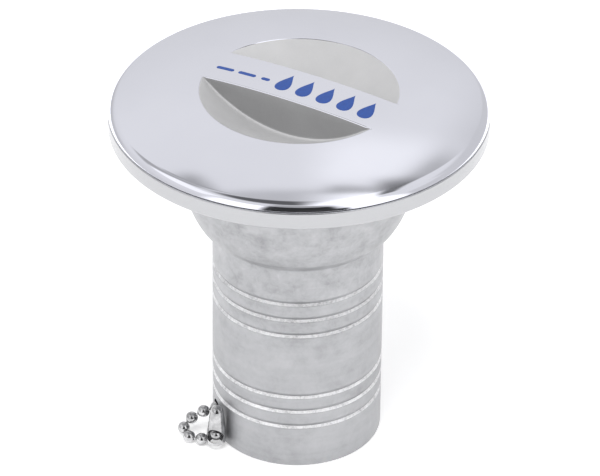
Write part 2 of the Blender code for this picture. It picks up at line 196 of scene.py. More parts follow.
# ------------------------------------------------------------------ material helpers
class Nodes:
    def __init__(self, name):
        self.mat = bpy.data.materials.new(name)
        self.mat.use_nodes = True
        self.t = self.mat.node_tree
        self.bsdf = self.t.nodes["Principled BSDF"]
        self.coord = self.t.nodes.new("ShaderNodeTexCoord")

    def add(self, kind, **values):
        n = self.t.nodes.new("ShaderNode" + kind)
        for k, v in values.items():
            setattr(n, k, v)
        return n

    def wire(self, a, b):
        self.t.links.new(a, b)

    def mapped(self, scale):
        m = self.add("Mapping")
        m.inputs["Scale"].default_value = scale
        self.wire(self.coord.outputs["Object"], m.inputs["Vector"])
        return m.outputs["Vector"]

    def noise(self, scale, stretch=(1, 1, 1), detail=4.0, rough=0.55, distortion=0.0):
        n = self.add("TexNoise")
        n.inputs["Scale"].default_value = scale
        n.inputs["Detail"].default_value = detail
        n.inputs["Roughness"].default_value = rough
        n.inputs["Distortion"].default_value = distortion
        self.wire(self.mapped(stretch), n.inputs["Vector"])
        return n.outputs["Fac"]

    def voronoi(self, scale, stretch=(1, 1, 1), feature="SMOOTH_F1"):
        n = self.add("TexVoronoi", feature=feature)
        n.inputs["Scale"].default_value = scale
        self.wire(self.mapped(stretch), n.inputs["Vector"])
        return n.outputs["Distance"]

    def span(self, value, lo, hi, out_lo, out_hi, smooth=False):
        n = self.add("MapRange")
        if smooth:
            n.interpolation_type = "SMOOTHSTEP"
        n.inputs["From Min"].default_value = lo
        n.inputs["From Max"].default_value = hi
        n.inputs["To Min"].default_value = out_lo
        n.inputs["To Max"].default_value = out_hi
        self.wire(value, n.inputs["Value"])
        return n.outputs["Result"]

    def math(self, op, a, b=None):
        n = self.add("Math", operation=op)
        for i, x in enumerate((a, b)):
            if x is None:
                continue
            if isinstance(x, (int, float)):
                n.inputs[i].default_value = x
            else:
                self.wire(x, n.inputs[i])
        return n.outputs[0]

    def ramp(self, value, stops):
        n = self.add("ValToRGB")
        els = n.color_ramp.elements
        while len(els) < len(stops):
            els.new(0.5)
        for e, (p, c) in zip(els, stops):
            e.position = p
            e.color = (*c, 1.0) if len(c) == 3 else c
        self.wire(value, n.inputs["Fac"])
        return n.outputs["Color"]

    def bump(self, height, distance, strength=1.0, after=None):
        n = self.add("Bump")
        n.inputs["Distance"].default_value = distance
        n.inputs["Strength"].default_value = strength
        self.wire(height, n.inputs["Height"])
        if after is not None:
            self.wire(after, n.inputs["Normal"])
        return n.outputs["Normal"]

    def height(self):
        s = self.add("SeparateXYZ")
        self.wire(self.coord.outputs["Object"], s.inputs[0])
        return s.outputs["Z"]

    def set(self, **values):
        for k, v in values.items():
            s = self.bsdf.inputs[k.replace("_", " ")]
            if hasattr(v, "is_linked"):
                self.wire(v, s)
            else:
                s.default_value = v
        return self


def polished_steel():
    """Mirror-polished stainless with faint buffing haze."""
    n = Nodes("polished_stainless_look")
    haze = n.noise(38.0, detail=5.0)
    fine = n.noise(900.0, (1.0, 0.12, 1.0), detail=3.0)
    n.set(Metallic=1.0,
          Base_Color=n.ramp(haze, [(0.30, (0.83, 0.838, 0.905)), (0.70, (0.865, 0.873, 0.94))]),
          Roughness=n.span(haze, 0.3, 0.7, 0.06, 0.10),
          Normal=n.bump(fine, 0.000004, 0.25))
    return n.mat


def blasted_steel(name, tone):
    """Matt bead-blasted floor and walls of the finger dish; a low tone gives the walls' copy, darkened as painted
    shade.
    """
    n = Nodes(name)
    grain = n.noise(2600.0, detail=3.0)
    cloud = n.noise(60.0, detail=4.0)
    n.set(Metallic=0.35,
          Base_Color=n.ramp(cloud, [(0.30, [c * tone for c in (0.55, 0.55, 0.553)]), (0.70, [c * tone for c in (0.63, 0.63, 0.633)])]),
          Roughness=n.span(grain, 0.3, 0.7, 0.52, 0.66),
          Normal=n.bump(grain, 0.00003, 0.55))
    return n.mat


def cast_steel():
    """Satin stainless: turned hose tail, cast and tumbled neck."""
    n = Nodes("satin_stainless_look")
    z = n.height()
    neck = n.span(z, 0.0562, 0.0592, 0.0, 1.0)            # 1 on the cast neck
    mottled = n.noise(210.0, detail=6.0, rough=0.62, distortion=0.4)
    blotch = n.noise(70.0, detail=3.0)
    rings = n.noise(1.0, (14.0, 14.0, 2600.0), detail=3.0, rough=0.6)
    coarse = n.noise(1.0, (9.0, 9.0, 420.0), detail=2.0)
    cast = n.math("MULTIPLY", mottled, neck)
    turned = n.math("MULTIPLY", rings, n.span(neck, 0.0, 1.0, 1.0, 0.12))
    band = n.span(z, 0.0813, 0.0817, 0.0, 1.0)            # 1 on the smooth flange edge
    fleck = n.noise(620.0, detail=5.0, rough=0.7, distortion=0.8)
    upper = n.span(z, 0.028, 0.050, 0.45, 1.0)            # the casting skin is coarser toward the neck
    wild = n.math("MULTIPLY", n.math("SUBTRACT", n.math("ADD", n.math("MULTIPLY", mottled, 0.6), n.math("MULTIPLY", fleck, 0.4)), 0.5), 1.5)
    tone = n.math("ADD", n.math("MULTIPLY", n.math("MULTIPLY", wild, upper), 1.0), n.math("MULTIPLY", blotch, 0.5))
    tone = n.math("ADD", tone, 0.25)
    tone = n.math("ADD", tone, n.math("MULTIPLY", n.math("SUBTRACT", coarse, 0.5), 0.30))
    plain = n.span(band, 0.0, 1.0, 1.0, 0.05)
    tone = n.math("ADD", n.math("MULTIPLY", n.math("SUBTRACT", tone, 0.55), plain), 0.55)
    tone = n.math("ADD", tone, n.math("MULTIPLY", band, 0.17))
    nrm = n.bump(n.math("MULTIPLY", mottled, plain), 0.00026, 0.5)
    nrm = n.bump(n.math("MULTIPLY", n.math("MULTIPLY", fleck, upper), plain), 0.00010, 0.6, nrm)
    nrm = n.bump(n.math("MULTIPLY", cast, plain), 0.00030, 0.5, nrm)
    nrm = n.bump(n.math("MULTIPLY", turned, plain), 0.00004, 0.5, nrm)
    rough = n.math("SUBTRACT", n.span(tone, 0.3, 0.7, 0.34, 0.46), n.math("MULTIPLY", band, 0.20))
    n.set(Metallic=0.82,
          Base_Color=n.ramp(tone, [(0.22, (0.276, 0.278, 0.287)), (0.50, (0.398, 0.401, 0.413)), (0.80, (0.500, 0.503, 0.516))]),
          Roughness=rough, Normal=nrm)
    return n.mat


def bead_steel(name, tone):
    n = Nodes(name)
    grain = n.noise(1400.0, detail=4.0)
    stain = n.noise(420.0, detail=3.0)
    lo, hi = [c * tone for c in (0.36, 0.36, 0.365)], [c * tone for c in (0.62, 0.62, 0.625)]
    n.set(Metallic=1.0, Base_Color=n.ramp(stain, [(0.32, lo), (0.62, hi)]),
          Roughness=n.span(grain, 0.3, 0.7, 0.12, 0.24), Normal=n.bump(grain, 0.00001, 0.4))
    return n.mat


def small_steel(name, colour, lo, hi):
    """Bright pressed or turned steel of the swivel pieces."""
    n = Nodes(name)
    brushed = n.noise(1.0, (300.0, 300.0, 3200.0), detail=3.0)
    dark = [c * 0.86 for c in colour]
    n.set(Metallic=1.0, Base_Color=n.ramp(brushed, [(0.30, dark), (0.70, colour)]),
          Roughness=n.span(brushed, 0.3, 0.7, lo, hi), Normal=n.bump(brushed, 0.000012, 0.5))
    return n.mat


def painted_groove_highlight():
    """Lower flank of a groove, which faces up: painted highlight, a bright, torn and uneven colour standing for the
    light that catches it.
    """
    n = Nodes("groove_painted_highlight_look")
    torn = n.noise(1500.0, detail=5.0, rough=0.7)
    wide = n.noise(260.0, detail=3.0)
    mix = n.math("ADD", n.math("MULTIPLY", torn, 0.6), n.math("MULTIPLY", wide, 0.4))
    n.set(Metallic=0.25, Base_Color=n.ramp(mix, [(0.34, (0.44, 0.44, 0.45)), (0.50, (0.78, 0.78, 0.79)), (0.64, (0.95, 0.95, 0.96))]),
          Roughness=n.span(torn, 0.3, 0.7, 0.34, 0.62), Normal=n.bump(torn, 0.00010, 0.8))
    return n.mat


def rubber_look():
    n = Nodes("nitrile_rubber_look")
    dust = n.noise(500.0, detail=5.0)
    n.set(Base_Color=n.ramp(dust, [(0.35, (0.014, 0.014, 0.015)), (0.75, (0.045, 0.045, 0.047))]),
          Roughness=n.span(dust, 0.3, 0.7, 0.42, 0.62), Normal=n.bump(dust, 0.00002, 0.5))
    return n.mat


def enamel_look():
    n = Nodes("blue_enamel_look")
    speck = n.noise(1500.0, detail=3.0)
    n.set(Base_Color=n.ramp(speck, [(0.30, (0.008, 0.052, 0.27)), (0.70, (0.014, 0.075, 0.34))]),
          Roughness=n.span(speck, 0.3, 0.7, 0.30, 0.42), Normal=n.bump(speck, 0.000008, 0.4))
    return n.mat


MAT_POLISHED, MAT_CAST = polished_steel(), cast_steel()
# the walls' copy is the same blasted steel painted darker (tone 0.60): painted shade on the bar's walls
MAT_DISH, MAT_WALL_SHADE = blasted_steel("dish_blasted_look", 1.06), blasted_steel("dish_wall_painted_shade_look", 0.60)
MAT_CHAIN = bead_steel("chain_steel_look", 1.0)
MAT_BALL = bead_steel("ball_steel_look", 1.0)
MAT_CONN = bead_steel("coupling_steel_look", 0.95)
MAT_RIVET = small_steel("rivet_steel_look", (0.72, 0.72, 0.74), 0.16, 0.28)
MAT_WASHER = small_steel("washer_steel_look", (0.68, 0.68, 0.70), 0.24, 0.36)
MAT_STRAP = small_steel("strap_steel_look", (0.70, 0.70, 0.72), 0.22, 0.34)
MAT_RUBBER, MAT_BLUE, MAT_GROOVE_HIGHLIGHT = rubber_look(), enamel_look(), painted_groove_highlight()

# ------------------------------------------------------------------ bead chain along its route
ROUTE = [(0.0, 0.0, 65.7), (0.0, 0.0, 58.0), (0.0, 0.0, 48.0), (0.0, 0.0, 38.0), (0.0, 0.0, 28.0), (0.0, 0.0, 20.0),
         (0.3, -0.2, 13.0), (1.8, -1.0, 6.6), (5.0, -2.4, 2.6), (8.8, -2.3, 1.55), (11.6, 1.4, 1.5), (10.6, 7.2, 1.5),
         (4.6, 11.4, 1.5), (-3.2, 11.4, 1.5), (-8.6, 7.4, 1.6), (-10.1, 2.2, 2.6), (-11.6, -2.0, 4.9),
         (-14.4, -4.55, 6.6), (-17.4, -5.72, 6.9), (-19.6, -6.44, 6.9), (-22.1, -7.2, 6.55), (-24.9, -7.0, 4.5),
         (-26.7, -7.5, 2.2), (-25.9, -10.0, 1.55), (-23.6, -11.3, 1.5), (-21.75, -11.45, 1.5)]


def smooth_route(points, n):
    """Centripetal Catmull-Rom curve through the points, n points at equal spacing, and its length."""
    p = [Vector(q) for q in points]
    p = [p[0] * 2 - p[1]] + p + [p[-1] * 2 - p[-2]]
    dense = []
    for i in range(1, len(p) - 2):
        q0, q1, q2, q3 = p[i - 1], p[i], p[i + 1], p[i + 2]
        t0 = 0.0
        t1 = t0 + math.sqrt((q1 - q0).length)
        t2 = t1 + math.sqrt((q2 - q1).length)
        t3 = t2 + math.sqrt((q3 - q2).length)
        for k in range(24):
            t = t1 + (t2 - t1) * k / 24
            a1 = q0 * ((t1 - t) / (t1 - t0)) + q1 * ((t - t0) / (t1 - t0))
            a2 = q1 * ((t2 - t) / (t2 - t1)) + q2 * ((t - t1) / (t2 - t1))
            a3 = q2 * ((t3 - t) / (t3 - t2)) + q3 * ((t - t2) / (t3 - t2))
            b1 = a1 * ((t2 - t) / (t2 - t0)) + a2 * ((t - t0) / (t2 - t0))
            b2 = a2 * ((t3 - t) / (t3 - t1)) + a3 * ((t - t1) / (t3 - t1))
            dense.append(b1 * ((t2 - t) / (t2 - t1)) + b2 * ((t - t1) / (t2 - t1)))
    dense.append(p[-2])
    run = [0.0]
    for a, b in zip(dense, dense[1:]):
        run.append(run[-1] + (b - a).length)
    out, j = [], 0
    for i in range(n):
        want = run[-1] * i / (n - 1)
        while j < len(run) - 2 and run[j + 1] < want:
            j += 1
        f = (want - run[j]) / (run[j + 1] - run[j])
        out.append(dense[j].lerp(dense[j + 1], f))
    return out, run[-1]


fine_route, route_length = smooth_route(ROUTE, 1387)


def on_route(s):
    """Point and direction at distance s along the chain."""
    x = min(max(s / route_length, 0.0), 1.0) * (len(fine_route) - 1)
    i = min(int(x), len(fine_route) - 2)
    p = fine_route[i].lerp(fine_route[i + 1], x - i)
    a, b = fine_route[max(i - 3, 0)], fine_route[min(i + 4, len(fine_route) - 1)]
    return p, (b - a).normalized()


def along(v):
    return v.to_track_quat("Z", "X").to_matrix().to_4x4()


def bead_profile(radius, hole=0.42):
    """Hollow ball with a small turned-in lip round the hole at each pole."""
    a = math.degrees(math.asin(hole / radius))
    pts = [(hole - 0.16, radius * 0.80), (hole - 0.10, radius * math.cos(math.radians(a)) - 0.05)]
    n = 16
    for i in range(n + 1):
        t = math.radians(a + (180.0 - 2.0 * a) * i / n)
        pts.append((radius * math.sin(t), radius * math.cos(t)))
    pts += [(r, -z) for r, z in reversed(pts[:2])]
    return pts


def add_turned(store, profile, seg, matrix, closed=False):
    verts, faces, _ = lathe(profile, seg, closed=closed)
    base = len(store[0])
    store[0].extend(tuple(matrix @ Vector(v)) for v in verts)
    store[1].extend(tuple(base + i for i in f) for f in faces)


# the five balls outside the tail fix the spacing: their places along the route
OUTSIDE = [(-22.1, -7.2, 6.55), (-24.9, -7.0, 4.5), (-26.65, -7.7, 2.1), (-25.5, -10.45, 1.53), (-22.45, -11.4, 1.5)]
places = []
for q in OUTSIDE:
    d = [(p - Vector(q)).length for p in fine_route]
    places.append(d.index(min(d)) / (len(fine_route) - 1) * route_length)
pitch, last = np.polyfit(np.arange(5.0), np.array(places), 1)
first_ball = last - pitch * int((last - BALL_D * 0.5 - 0.2) / pitch)
stations = list(np.arange(first_ball, places[-1] + pitch * 0.5, pitch))
stations[-5:] = places          # the visible ones exactly where they lie

chain_data = ([], [])
lengths = [0.0] + [float(s) for s in stations] + [route_length]
for s in stations:
    p, d = on_route(s)
    add_turned(chain_data, bead_profile(BALL_D / 2 + 0.04), 24, Matrix.Translation(p) @ along(d))
ROD = [(0.0, -0.5), (0.27, -0.5), (0.27, -0.25), (0.27, 0.0), (0.27, 0.25), (0.27, 0.5), (0.0, 0.5)]
for a, b in zip(lengths, lengths[1:]):
    a0 = a + (BALL_D * 0.36 if a > 0 else 0.0)
    b0 = b - (BALL_D * 0.36 if b < route_length else 0.0)
    if b0 - a0 < 0.2:
        continue
    steps = max(1, int((b0 - a0) / 0.8))
    for i in range(steps):
        q0, q1 = on_route(a0 + (b0 - a0) * i / steps)[0], on_route(a0 + (b0 - a0) * (i + 1) / steps)[0]
        stretch = Matrix.Diagonal((1.0, 1.0, (q1 - q0).length + 0.02, 1.0))
        add_turned(chain_data, ROD, 12, Matrix.Translation((q0 + q1) / 2) @ along(q1 - q0) @ stretch)
chain = new_mesh("bead_chain", chain_data[0], chain_data[1], [MAT_CHAIN], 40.0)

# ------------------------------------------------------------------ chain coupling beside the tail
lean = CONN_HEAD - CONN_FOOT
L = lean.length
outer = [(0.0, L + 0.02), (0.45, L - 0.02), (0.80, L - 0.12), (1.10, L - 0.34), (1.34, L - 0.66), (1.50, L - 1.05), (1.60, L - 1.5),
         (1.65, L - 1.9), (1.74, L - 2.6), (1.86, 6.2), (2.0, 5.2), (2.12, 4.0), (2.21, 2.9), (2.28, 1.9), (2.30, 1.2),
         (2.27, 0.55), (2.18, 0.22), (2.0, 0.04), (1.9, 0.0)]
inner = [(1.35, 0.0), (1.55, 0.08), (1.78, 0.3), (1.90, 0.7), (1.92, 1.8), (1.86, 2.9), (1.74, 4.2), (1.62, 5.2),
         (1.42, 6.8), (1.27, L - 2.0), (1.1, L - 1.3), (0.8, L - 0.8), (0.45, L - 0.55), (0.0, L - 0.5)]
verts, faces, _ = lathe(outer + inner, 48)
place = Matrix.Translation(CONN_FOOT) @ along(lean.normalized())
coupling = new_mesh("coupling", [place @ Vector(v) for v in verts], faces, [MAT_CONN], 40.0)
tool = bmesh.new()
win = Vector((-0.16, -0.84, 0.42)).normalized()
c = (CONN_FOOT + Vector((0.0, 0.0, 1.95)) + win * 1.85) * MM
level_x = Vector((0.0, 0.0, 1.0)).cross(win).normalized()
mouth = Matrix((level_x, win.cross(level_x), win)).transposed().to_4x4()
bm_cylinder(tool, 1.0 * MM, 3.2 * MM, Matrix.Translation(c) @ mouth @ Matrix.Diagonal((2.12, 1.66, 1.0, 1.0)), 48)
cut(coupling, tool, "coupling_mouth")
tool = bmesh.new()
side = Vector((-0.93, 0.20, 0.0)).normalized()
across = Vector((0.0, 0.0, 1.0)).cross(side).normalized()
turn = Matrix((side, across, Vector((0, 0, 1)))).transposed().to_4x4()
mid = (CONN_FOOT + side * 1.9 + Vector((0, 0, 4.2))) * MM
bmesh.ops.create_cube(tool, size=1.0, matrix=Matrix.Translation(mid) @ turn @ Matrix.Diagonal((3 * MM, 0.8 * MM, 5 * MM, 1)))
cut(coupling, tool, "coupling_slot")
coupling.data.set_sharp_from_angle(angle=math.radians(40.0))
held = ([], [])
held_at = CONN_FOOT + Vector((0.05, -0.05, 2.15))
add_turned(held, bead_profile(1.42), 28, Matrix.Translation(held_at) @ along(Vector((-0.9, 0.3, -0.25))))
top_at = CONN_FOOT + lean * 0.72
add_turned(held, bead_profile(1.15), 20, Matrix.Translation(top_at) @ along(lean.normalized()))
held_ball = new_mesh("coupling_ball", held[0], held[1], [MAT_BALL], 40.0)

# ------------------------------------------------------------------ filler body
def thread_shape(theta, z, z0, turns, crest_r, root_r, crest_half, fade=0.07):
    """Radius of a ridge (crest_r > root_r) or a groove seen on a turned wall."""
    a = theta / (2.0 * math.pi)
    k = a + round((z - z0) / PITCH - a)
    if k < 0.0:
        k += 1.0
    if k > turns:
        k -= 1.0
    if k < 0.0 or k > turns:
        return root_r
    grow = min(1.0, min(k, turns - k) / fade)
    depth = abs(crest_r - root_r)
    rise = depth - max(0.0, abs(z - (z0 + PITCH * k)) - crest_half) / FLANK
    rise = max(0.0, min(rise, depth * grow))
    return root_r + math.copysign(rise, crest_r - root_r)


def tail_profile():
    pts = [(SEAT_R + 0.35, FLANGE_TOP)]
    pts += [(SEAT_R + 3.0, FLANGE_TOP), (FLANGE_R - 4.0, FLANGE_TOP)]
    pts += arc(FLANGE_R - 0.35, FLANGE_TOP - 0.35, 0.35, 90, 0, 5)
    pts += [(FLANGE_R - 0.03, FLANGE_TOP - 2.2)]
    pts += arc(FLANGE_R - 0.95, FLANGE_BOTTOM + 0.9, 0.9, 0, -90, 8)
    pts += [(FLANGE_R - 4.0, FLANGE_BOTTOM), (NECK_R + 6.0, FLANGE_BOTTOM)]
    pts += [(NECK_R + 3.0 - 3.0 * math.sin(math.radians(a)), FLANGE_BOTTOM - 3.0 + 3.0 * math.cos(math.radians(a)))
            for a in (0, 12, 25, 38, 51, 64, 77, 90)]
    centre_r = NECK_R - NECK_ARC_A
    for i in range(25):
        z = NECK_ARC_Z + (STEP_Z - NECK_ARC_Z) * i / 24
        d = (NECK_ARC_Z - z) / NECK_ARC_B
        pts.append((centre_r + NECK_ARC_A * math.sqrt(1.0 - d * d), z))
    # softened edge between casting and turning
    pts += [(22.72, 58.15), (22.55, 57.9), (22.3, 57.6), (21.4, 56.65), (20.55, 55.75), (20.25, 55.35), (20.08, 55.0),
            (20.0, 54.5)]
    for z in GROOVES:
        h, g = GROOVE_HALF, GROOVE_DEPTH
        pts += [(TAIL_R, z + h + 0.25), (TAIL_R, z + h + 0.10), (TAIL_R - 0.03, z + h - 0.02), (TAIL_R - g + 0.06, z + 0.12),
                (TAIL_R - g, z), (TAIL_R - g + 0.06, z - 0.12), (TAIL_R - 0.03, z - h + 0.02), (TAIL_R, z - h - 0.10),
                (TAIL_R, z - h - 0.25)]
    pts += arc(TAIL_R - 0.6, 0.6, 0.6, 0, -90, 6)
    pts += arc(BORE_R + 0.5, 0.5, 0.5, -90, -180, 5)
    pts += [(BORE_R, 8.0), (BORE_R, 30.0), (BORE_R, BORE_TOP - 0.4), (BORE_R + 0.1, BORE_TOP), (20.7, 61.8),
            (21.0, 62.9), (FEMALE_CREST_R, 64.0)]
    z = 70.0
    while z < SEAT_Z - 0.35:
        pts.append((FEMALE_CREST_R, z))
        z += 0.20
    pts += [(FEMALE_CREST_R, SEAT_Z), (SEAT_R - 0.4, SEAT_Z), (SEAT_R - 0.1, SEAT_Z + 0.1), (SEAT_R, SEAT_Z + 0.4),
            (SEAT_R, FLANGE_TOP - 0.35)]
    return pts


def inside_thread(theta, r, z):
    if abs(r - FEMALE_CREST_R) < 1e-6 and 70.5 < z < SEAT_Z - 0.1:
        half = CREST_HALF + AXIAL_PLAY - (FEMALE_ROOT_R - MALE_CREST_R) * FLANK
        return thread_shape(theta, z, FEMALE_Z0, FEMALE_TURNS, FEMALE_ROOT_R, FEMALE_CREST_R, half)
    return r


BODY_SEG = 168
prof = tail_profile()
verts, faces, _ = lathe(prof, BODY_SEG, closed=True, radius=inside_thread)
# the profile's stretches that form the lower flank of each groove
flank = {i for i, (a, b) in enumerate(zip(prof, prof[1:])) for z in GROOVES
         if a[0] > 19.0 and b[1] >= z - GROOVE_HALF - 0.01 and a[1] <= z - 0.10 and b[1] < a[1]}
# the lower flanks of the grooves take the painted-highlight colour, the bright line that light from above puts on them
body = new_mesh("filler_casting", verts, faces, [MAT_CAST, MAT_GROOVE_HIGHLIGHT], 28.0,
                [1 if i // BODY_SEG in flank else 0 for i in range(len(faces))])
tool = bmesh.new()
for k in range(4):
    a = math.radians(45.0 + 90.0 * k)
    at = Vector((SCREW_PCR * math.cos(a), SCREW_PCR * math.sin(a), 0.0))
    prof = [(0.0, FLANGE_TOP + 0.8), (SCREW_HEAD_R + 0.1, FLANGE_TOP + 0.8), (SCREW_HEAD_R + 0.1, FLANGE_TOP - 0.1),
            (SCREW_HOLE_R, FLANGE_TOP - 2.6), (SCREW_HOLE_R, FLANGE_BOTTOM - 1.0), (0.0, FLANGE_BOTTOM - 1.0)]
    cv, cf, _ = lathe(prof, 40)
    made = [tool.verts.new((Vector(v) + at) * MM) for v in cv]
    for f in cf:
        tool.faces.new([made[i] for i in f])
bm_cylinder(tool, HOLE_R * MM, 8.0 * MM, Matrix.Translation((HOLE_DIR * 18.5 + Vector((0, 0, HOLE_Z))) * MM) @ along(HOLE_DIR), 40)
cut(body, tool, "body_cut")
body.data.set_sharp_from_angle(angle=math.radians(28.0))
smooth_weighted(body)

# ------------------------------------------------------------------ cap
def dome(r):
    return DOME_TOP - DOME_A * r ** 2 - DOME_B * r ** 4


def dish(r):
    return DISH_CZ - np.sqrt(np.maximum(DISH_RS ** 2 - r ** 2, 0.0))


def soft_min(a, b, k):
    h = np.clip(0.5 + 0.5 * (b - a) / k, 0.0, 1.0)
    return b + (a - b) * h - k * h * (1.0 - h)


DRAFT = math.radians(3.0)
TD, SD = math.tan(DRAFT), math.sin(DRAFT)
T_TOP = math.tan(math.radians(90.0) / 2 - DRAFT / 2)


def depth_below(u, v):
    """How far the dish lies under the dome, with its rim rounded."""
    r = np.sqrt(u * u + v * v)
    t = dome(r)
    return t, np.maximum(t - soft_min(t, dish(r), 0.30) - 0.0, 0.0)


def fillets(h):
    return np.minimum(0.32, 0.30 * h) + 1e-9, np.minimum(0.85, 0.42 * h) + 1e-9


def surface(u, v):
    """Height of the cap's top at (u along, v across) the grip bar."""
    t, h = depth_below(u, v)
    x = np.abs(v) - BAR_HALF
    p1, p2 = fillets(h)
    l1, l2 = p1 * T_TOP, p2 * T_TOP
    xf = h * TD
    g = np.clip(x / TD, 0.0, None)
    top = p1 - np.sqrt(np.maximum(p1 ** 2 - np.clip(x + l1, 0.0, p1) ** 2, 0.0))
    g = np.where(x < l1 * SD, np.where(x < -l1, 0.0, top), g)
    q = xf + l2 - x
    foot = h - (p2 - np.sqrt(np.maximum(p2 ** 2 - np.clip(q, 0.0, p2) ** 2, 0.0)))
    g = np.where(x > xf - l2 * SD, np.where(q > 0.0, foot, h), g)
    return t - np.minimum(g, h)


lo, hi = 20.0, 30.0
for _ in range(50):
    rr = 0.5 * (lo + hi)
    lo, hi = (rr, hi) if dish(rr) < dome(rr) else (lo, rr)
RIM_R = rr
OUT_R, TOP_SEG = 26.0, 192

pts = [(OUT_R * math.cos(2 * math.pi * k / TOP_SEG), OUT_R * math.sin(2 * math.pi * k / TOP_SEG)) for k in range(TOP_SEG)]
cells = {}
CELL = 0.5


def taken(x, y, gap):
    i, j = int(math.floor(x / CELL)), int(math.floor(y / CELL))
    n = int(gap / CELL) + 1
    for a in range(i - n, i + n + 1):
        for b in range(j - n, j + n + 1):
            for q in cells.get((a, b), ()):
                if (q[0] - x) ** 2 + (q[1] - y) ** 2 < gap * gap:
                    return True
    return False


def put(x, y, gap):
    if x * x + y * y > (OUT_R - 0.35) ** 2 or taken(x, y, gap):
        return
    cells.setdefault((int(math.floor(x / CELL)), int(math.floor(y / CELL))), []).append((x, y))
    pts.append((x, y))


# rows that follow the bar's walls, from its top edge to the foot on the dish
us = np.concatenate([np.arange(-22.6, -20.0, 0.14), np.arange(-20.0, 20.0, 0.32), np.arange(20.0, 22.61, 0.14)])
for sgn in (1.0, -1.0):
    for u in us:
        xf = 0.0
        for _ in range(3):
            h = float(depth_below(np.array(u), np.array(BAR_HALF + xf))[1])
            xf = h * TD
        p1, p2 = (float(x) for x in fillets(np.array(h)))
        l1, l2 = p1 * T_TOP, p2 * T_TOP
        xs = [-l1 - 0.35, -l1]
        xs += [-l1 + p1 * math.sin(math.radians(a)) for a in (22, 42, 60, 75)]
        w0, w1 = l1 * SD, xf - l2 * SD
        xs += [w0, w0 + (w1 - w0) * 0.33, w0 + (w1 - w0) * 0.67, w1]
        xs += [xf + l2 - p2 * math.sin(math.radians(a)) for a in (75, 60, 45, 30, 15, 0)]
        xs += [xf + l2 + 0.25, xf + l2 + 0.7]
        for x in xs:
            put(u, sgn * (BAR_HALF + x), 0.012)
# rings that follow the dish's rounded rim
for k in range(300):
    a = 2.0 * math.pi * (k + 0.5) / 300
    for d in (0.0, 0.08, 0.17, 0.27, 0.38, 0.6, 1.0, -0.08, -0.17, -0.27, -0.38, -0.6, -0.95):
        r = RIM_R + d
        if abs(r * math.sin(a)) > BAR_HALF + 0.02:
            put(r * math.cos(a), r * math.sin(a), 0.06)
# open areas
step = 0.85
for j in range(-32, 33):
    for i in range(-32, 33):
        x, y = (i + 0.5 * (j % 2)) * step, j * step * 0.866
        put(x, y, 0.42)
flat, tri_edges, tris, origin, _, _ = delaunay_2d_cdt([Vector(p) for p in pts], [], [], 0, 1e-5)
source = [o[0] for o in origin]
uv = np.array([pts[i] for i in source])
top_z = surface(uv[:, 0], uv[:, 1])
eps = 1e-3
gu = (surface(uv[:, 0] + eps, uv[:, 1]) - surface(uv[:, 0] - eps, uv[:, 1])) / (2 * eps)
gv = (surface(uv[:, 0], uv[:, 1] + eps) - surface(uv[:, 0], uv[:, 1] - eps)) / (2 * eps)
nrm = np.stack([-gu, -gv, np.ones_like(gu)], 1)
nrm /= np.linalg.norm(nrm, axis=1)[:, None]
ca, sa = math.cos(BAR_ANGLE), math.sin(BAR_ANGLE)
top_xyz = np.stack([uv[:, 0] * ca - uv[:, 1] * sa, uv[:, 0] * sa + uv[:, 1] * ca, top_z], 1)
top_nrm = np.stack([nrm[:, 0] * ca - nrm[:, 1] * sa, nrm[:, 0] * sa + nrm[:, 1] * ca, nrm[:, 2]], 1)

cap_verts = [tuple(v) for v in top_xyz]
cap_normals = [tuple(v) for v in top_nrm]
cap_faces, cap_index = [], []
for f in tris:
    c = uv[list(f)].mean(axis=0)
    r = math.hypot(*c)
    cap_faces.append(tuple(f))
    blasted = abs(c[1]) > BAR_HALF and r < RIM_R - 0.10
    # steep dish faces, the bar's walls, take the painted-shade copy (index 2)
    cap_index.append(0 if not blasted else 2 if nrm[list(f), 2].mean() < 0.55 else 1)

# outer dome, rounded edge, underside, threaded spigot
RIM_JOIN, RIM_END = 41.75, 68.0
join_slope = math.degrees(math.atan(2 * DOME_A * RIM_JOIN + 4 * DOME_B * RIM_JOIN ** 3))
roll_r = (FLANGE_R - 0.10 - RIM_JOIN) / (math.sin(math.radians(RIM_END)) - math.sin(math.radians(join_slope)))
roll_c = (RIM_JOIN - roll_r * math.sin(math.radians(join_slope)), dome(RIM_JOIN) - roll_r * math.cos(math.radians(join_slope)))
prof = [(r, dome(r)) for r in (27.2, 28.6, 30.0, 31.5, 33.0, 34.5, 36.0, 37.3, 38.5, 39.5, 40.4, 41.1)]
n_top = len(prof)
roll = [join_slope + (RIM_END - join_slope) * i / 16 for i in range(17)]
prof += [(roll_c[0] + roll_r * math.sin(math.radians(t)), roll_c[1] + roll_r * math.cos(math.radians(t))) for t in roll]
n_roll = len(prof)
prof += [(FLANGE_R - 0.11, CAP_UNDER + 0.08), (FLANGE_R - 0.20, CAP_UNDER)]
prof += [(40.0, CAP_UNDER), (37.0, CAP_UNDER), (36.8, CAP_UNDER + 0.25), (36.5, CAP_UNDER + 1.0), (36.2, CAP_UNDER + 1.2),
         (32.0, CAP_UNDER + 1.2), (28.8, CAP_UNDER + 1.2), (28.5, CAP_UNDER + 1.0), (28.2, CAP_UNDER + 0.25),
         (28.0, CAP_UNDER), (25.0, CAP_UNDER), (21.2, CAP_UNDER), (20.85, CAP_UNDER - 0.1), (MALE_ROOT_R, CAP_UNDER - 0.4)]
z = 84.0
while z > SPIGOT_BOTTOM + 0.55:
    prof.append((MALE_ROOT_R, z))
    z -= 0.14
prof += arc(MALE_ROOT_R - 0.5, SPIGOT_BOTTOM + 0.5, 0.5, 0, -90, 5)
prof += arc(SPIGOT_IN + 0.4, SPIGOT_BOTTOM + 0.4, 0.4, -90, -180, 5)
rs = DISH_RS + DISH_WALL
prof += [(r, DISH_CZ - math.sqrt(rs * rs - r * r)) for r in (SPIGOT_IN, 17.2, 15.5, 13.0, 10.5, 8.0, 6.6)]
